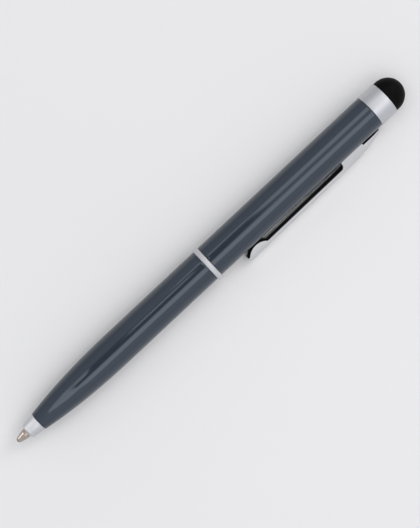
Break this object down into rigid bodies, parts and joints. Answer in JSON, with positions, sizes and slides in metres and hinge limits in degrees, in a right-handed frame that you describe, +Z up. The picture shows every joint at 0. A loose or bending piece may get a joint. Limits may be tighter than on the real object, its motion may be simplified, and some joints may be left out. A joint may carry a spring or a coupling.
{
  "type": "stylus ballpoint pen",
  "caption": "Slim twist-action ballpoint pen with a tapered lacquered barrel, a metal centre ring and collar, a folded channel clip and a domed rubber stylus tip.",
  "frame": {"origin": "point on the ground plane under the middle of the pen as it lies on its centre ring and clip", "axes": "+X along the pen from the writing end to the stylus end, +Z up from the ground, the clip on the -Y side and hanging below level"},
  "size_m": [0.1398, 0.0127, 0.0109],
  "materials": {
    "slate_lacquer": "glossy slate blue-grey lacquer on brass",
    "satin_silver": "satin silver plating",
    "bright_silver": "bright silver plating",
    "nickel_silver": "turned nickel silver",
    "brass": "turned brass, bare",
    "spring_steel": "drawn steel, bare",
    "ball_carbide": "ground carbide ball",
    "white_plastic": "moulded acetal",
    "grey_plastic": "moulded plastic",
    "ink": "ink paste",
    "black_rubber": "smooth matte conductive rubber"
  },
  "bodies": {
    "lower_half": {"nose_cone": "satin_silver", "lower_barrel": "slate_lacquer", "threaded_bush": "brass", "connector": "brass", "centre_ring": "bright_silver", "friction_ring": "black_rubber", "guide_tube": "brass", "retaining_ring": "spring_steel", "return_spring": "spring_steel"},
    "refill": {"refill_point": "nickel_silver", "refill_tube": "spring_steel", "ink_column": "ink", "refill_end_cap": "grey_plastic", "drive_plunger": "white_plastic", "drive_pin": "spring_steel"},
    "ball": {"writing_ball": "ball_carbide"},
    "upper_half": {"upper_barrel": "slate_lacquer", "cam_sleeve": "white_plastic", "clip_anchor": "white_plastic", "stylus_holder": "white_plastic", "end_collar": "satin_silver", "stylus_tip": "black_rubber"},
    "clip": {"clip": "satin_silver"}
  },
  "joints": [
    {"name": "barrel_twist", "type": "hinge", "parent": "lower_half", "child": "upper_half", "pos_m": [0.00036, 0.00097, 0.00545], "axis": [1, 0, 0], "range_deg": [0, 150]},
    {"name": "refill_slide", "type": "slide", "parent": "lower_half", "child": "refill", "axis": [1, 0, 0], "range_m": [0, 0.0055], "deforming": ["return_spring"]},
    {"name": "clip_flex", "type": "hinge", "parent": "upper_half", "child": "clip", "pos_m": [0.05035, -0.0031, 0.00284], "axis": [0, -0.5403, 0.8414], "range_deg": [0, 2.2], "stiffness_Nm_per_rad": 2, "springref_deg": -1.15},
    {"name": "ball_roll", "type": "hinge", "parent": "refill", "child": "ball", "pos_m": [-0.0694, 0.00097, 0.00545], "axis": [0, -0.5403, 0.8414], "continuous": true}
  ],
  "couplings": [
    {"joint": "refill_slide", "follows": "barrel_twist", "m_per_rad": 0.0021008}
  ]
}
